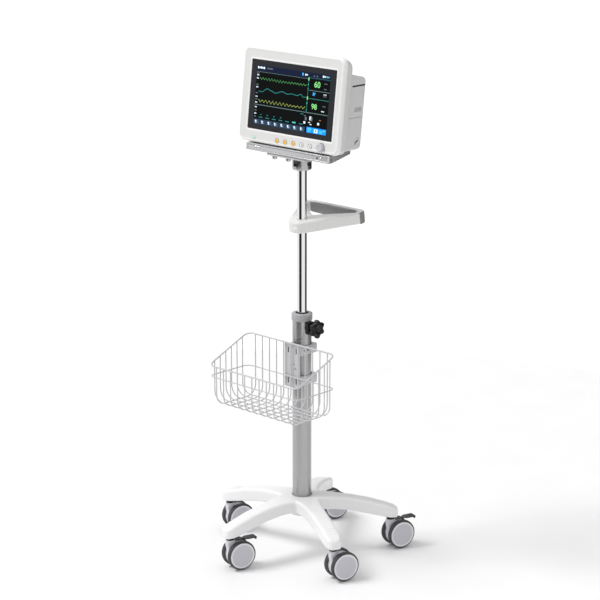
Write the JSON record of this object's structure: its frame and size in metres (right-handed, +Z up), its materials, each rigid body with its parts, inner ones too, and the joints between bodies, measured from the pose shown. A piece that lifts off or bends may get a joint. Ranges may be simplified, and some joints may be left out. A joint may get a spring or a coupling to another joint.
{
  "type": "patient monitor on rolling stand",
  "caption": "Bedside patient monitor on a height-adjustable rolling stand with swivel head, push handle, wire basket and braked twin-wheel casters.",
  "frame": {"origin": "on the floor under the centre of the whole object's bounding box; the column's axis stands 3.3 mm to +X and 10.6 mm to -Y of it", "axes": "+Z up along the column; the screen faces -Y and leans back by 6.7 degrees; the push handle points to +Y"},
  "size_m": [0.5162, 0.5316, 1.3414],
  "materials": {
    "amber_key": "satin",
    "black_glass": "gloss black-bordered screen window",
    "black_plastic": "satin",
    "bracket_grey": "satin grey",
    "case_grey": "fine matte",
    "case_white": "fine matte",
    "circuit_green": "solder mask",
    "green_key": "satin",
    "grip_grey": "soft matte",
    "handle_white": "satin",
    "hub_grey": "satin",
    "light_grey_plastic": "fine matte",
    "polished_steel": "polished",
    "satin_aluminium": "satin anodised",
    "tyre_rubber": "matte",
    "white_powder": "semi-gloss white powder coat",
    "white_wire": "semi-gloss plastic-coated wire"
  },
  "bodies": {
    "stand": {"star_base": "white_powder", "base_nut": "polished_steel", "column_foot_ring": "black_plastic", "column_tube": "satin_aluminium", "guide_bush": "black_plastic", "collar": "light_grey_plastic", "clamp_boss": "black_plastic", "basket_bracket": "bracket_grey", "upper_clamp": "bracket_grey", "lower_clamp": "bracket_grey", "wire_basket": "white_wire"},
    "mast": {"pole_tube": "polished_steel", "pole_end_plug": "black_plastic", "handle_frame": "handle_white", "handle_grip": "grip_grey"},
    "clamp": {"clamp_knob": "black_plastic"},
    "head": {"mount_cup": "satin_aluminium", "tilt_bolt": "black_plastic"},
    "monitor": {"tilt_head": "bracket_grey", "mounting_tray": "bracket_grey", "thumb_screw_left": "polished_steel", "thumb_screw_right": "polished_steel", "front_bezel": "case_white", "rear_case": "case_grey", "alarm_lamp": "white_powder", "socket_panel": "light_grey_plastic", "ecg_socket": "green_key", "oximeter_socket": "black_plastic", "pressure_port": "polished_steel", "mains_inlet": "black_plastic", "screen_glass": "black_glass", "lcd_module": "bracket_grey", "main_board": "circuit_green", "power_supply": "bracket_grey", "battery": "black_plastic"},
    "door": {"battery_door": "case_grey"},
    "encoder": {"encoder_knob": "light_grey_plastic"},
    "alarm_pause_key_cap": {"alarm_pause_key": "amber_key"},
    "alarm_silence_key_cap": {"alarm_silence_key": "amber_key"},
    "freeze_key_cap": {"freeze_key": "amber_key"},
    "pressure_start_key_cap": {"pressure_start_key": "case_white"},
    "menu_key_cap": {"menu_key": "case_white"},
    "power_key_cap": {"power_key": "green_key"},
    "caster_1": {"caster_body_1": "hub_grey"},
    "wheel_1_left_roller": {"wheel_1_left": "tyre_rubber"},
    "wheel_1_right_roller": {"wheel_1_right": "tyre_rubber"},
    "brake_1": {"brake_pedal_1": "black_plastic"},
    "caster_2": {"caster_body_2": "hub_grey"},
    "wheel_2_left_roller": {"wheel_2_left": "tyre_rubber"},
    "wheel_2_right_roller": {"wheel_2_right": "tyre_rubber"},
    "caster_3": {"caster_body_3": "hub_grey"},
    "wheel_3_left_roller": {"wheel_3_left": "tyre_rubber"},
    "wheel_3_right_roller": {"wheel_3_right": "tyre_rubber"},
    "brake_3": {"brake_pedal_3": "black_plastic"},
    "caster_4": {"caster_body_4": "hub_grey"},
    "wheel_4_left_roller": {"wheel_4_left": "tyre_rubber"},
    "wheel_4_right_roller": {"wheel_4_right": "tyre_rubber"},
    "caster_5": {"caster_body_5": "hub_grey"},
    "wheel_5_left_roller": {"wheel_5_left": "tyre_rubber"},
    "wheel_5_right_roller": {"wheel_5_right": "tyre_rubber"}
  },
  "joints": [
    {"name": "mast_height", "type": "slide", "parent": "stand", "child": "mast", "axis": [0, 0, 1], "range_m": [-0.17, 0.21]},
    {"name": "clamp_knob_turn", "type": "hinge", "parent": "stand", "child": "clamp", "pos_m": [0.0033, -0.0106, 0.621], "axis": [1, 0, 0], "range_deg": [0, 180]},
    {"name": "head_swivel", "type": "hinge", "parent": "mast", "child": "head", "pos_m": [0.0033, -0.0106, 1.05], "axis": [0, 0, 1], "range_deg": [-90, 90]},
    {"name": "monitor_tilt", "type": "hinge", "parent": "head", "child": "monitor", "pos_m": [0.0033, -0.0106, 1.052], "axis": [1, 0, 0], "range_deg": [-12, 15]},
    {"name": "battery_door_hinge", "type": "hinge", "parent": "monitor", "child": "door", "pos_m": [0.1653, 0.01006, 1.1847], "axis": [0, -1, 0], "range_deg": [0, 100]},
    {"name": "encoder_turn", "type": "hinge", "parent": "monitor", "child": "encoder", "pos_m": [0.1191, -0.06274, 1.11359], "axis": [0, -0.9932, 0.1167], "continuous": true},
    {"name": "alarm_pause_key_press", "type": "slide", "parent": "monitor", "child": "alarm_pause_key_cap", "axis": [0, 0.9932, -0.1167], "range_m": [0, 0.0009], "stiffness_N_per_m": 900},
    {"name": "alarm_silence_key_press", "type": "slide", "parent": "monitor", "child": "alarm_silence_key_cap", "axis": [0, 0.9932, -0.1167], "range_m": [0, 0.0009], "stiffness_N_per_m": 900},
    {"name": "freeze_key_press", "type": "slide", "parent": "monitor", "child": "freeze_key_cap", "axis": [0, 0.9932, -0.1167], "range_m": [0, 0.0009], "stiffness_N_per_m": 900},
    {"name": "pressure_start_key_press", "type": "slide", "parent": "monitor", "child": "pressure_start_key_cap", "axis": [0, 0.9932, -0.1167], "range_m": [0, 0.0009], "stiffness_N_per_m": 900},
    {"name": "menu_key_press", "type": "slide", "parent": "monitor", "child": "menu_key_cap", "axis": [0, 0.9932, -0.1167], "range_m": [0, 0.0009], "stiffness_N_per_m": 900},
    {"name": "power_key_press", "type": "slide", "parent": "monitor", "child": "power_key_cap", "axis": [0, 0.9932, -0.1167], "range_m": [0, 0.0009], "stiffness_N_per_m": 900},
    {"name": "caster_1_swivel", "type": "hinge", "parent": "stand", "child": "caster_1", "pos_m": [0.16912, 0.15873, 0.09], "axis": [0, 0, 1], "continuous": true},
    {"name": "wheel_1_left_roll", "type": "hinge", "parent": "caster_1", "child": "wheel_1_left_roller", "pos_m": [0.17654, 0.18156, 0.04], "axis": [-0.9511, 0.309, 0], "continuous": true},
    {"name": "wheel_1_right_roll", "type": "hinge", "parent": "caster_1", "child": "wheel_1_right_roller", "pos_m": [0.17654, 0.18156, 0.04], "axis": [-0.9511, 0.309, 0], "continuous": true},
    {"name": "brake_1_press", "type": "hinge", "parent": "caster_1", "child": "brake_1", "pos_m": [0.17314, 0.17109, 0.079], "axis": [-0.9511, 0.309, 0], "range_deg": [0, 10]},
    {"name": "caster_2_swivel", "type": "hinge", "parent": "stand", "child": "caster_2", "pos_m": [0.21558, -0.11598, 0.09], "axis": [0, 0, 1], "continuous": true},
    {"name": "wheel_2_left_roll", "type": "hinge", "parent": "caster_2", "child": "wheel_2_left_roller", "pos_m": [0.223, -0.09315, 0.04], "axis": [-0.9511, 0.309, 0], "continuous": true},
    {"name": "wheel_2_right_roll", "type": "hinge", "parent": "caster_2", "child": "wheel_2_right_roller", "pos_m": [0.223, -0.09315, 0.04], "axis": [-0.9511, 0.309, 0], "continuous": true},
    {"name": "caster_3_swivel", "type": "hinge", "parent": "stand", "child": "caster_3", "pos_m": [-0.03132, -0.24506, 0.09], "axis": [0, 0, 1], "continuous": true},
    {"name": "wheel_3_left_roll", "type": "hinge", "parent": "caster_3", "child": "wheel_3_left_roller", "pos_m": [-0.02391, -0.22223, 0.04], "axis": [-0.9511, 0.309, 0], "continuous": true},
    {"name": "wheel_3_right_roll", "type": "hinge", "parent": "caster_3", "child": "wheel_3_right_roller", "pos_m": [-0.02391, -0.22223, 0.04], "axis": [-0.9511, 0.309, 0], "continuous": true},
    {"name": "brake_3_press", "type": "hinge", "parent": "caster_3", "child": "brake_3", "pos_m": [-0.0273, -0.23269, 0.079], "axis": [-0.9511, 0.309, 0], "range_deg": [0, 10]},
    {"name": "caster_4_swivel", "type": "hinge", "parent": "stand", "child": "caster_4", "pos_m": [-0.23038, -0.05012, 0.09], "axis": [0, 0, 1], "continuous": true},
    {"name": "wheel_4_left_roll", "type": "hinge", "parent": "caster_4", "child": "wheel_4_left_roller", "pos_m": [-0.22296, -0.0273, 0.04], "axis": [-0.9511, 0.309, 0], "continuous": true},
    {"name": "wheel_4_right_roll", "type": "hinge", "parent": "caster_4", "child": "wheel_4_right_roller", "pos_m": [-0.22296, -0.0273, 0.04], "axis": [-0.9511, 0.309, 0], "continuous": true},
    {"name": "caster_5_swivel", "type": "hinge", "parent": "stand", "child": "caster_5", "pos_m": [-0.1065, 0.19943, 0.09], "axis": [0, 0, 1], "continuous": true},
    {"name": "wheel_5_left_roll", "type": "hinge", "parent": "caster_5", "child": "wheel_5_left_roller", "pos_m": [-0.09908, 0.22226, 0.04], "axis": [-0.9511, 0.309, 0], "continuous": true},
    {"name": "wheel_5_right_roll", "type": "hinge", "parent": "caster_5", "child": "wheel_5_right_roller", "pos_m": [-0.09908, 0.22226, 0.04], "axis": [-0.9511, 0.309, 0], "continuous": true}
  ]
}
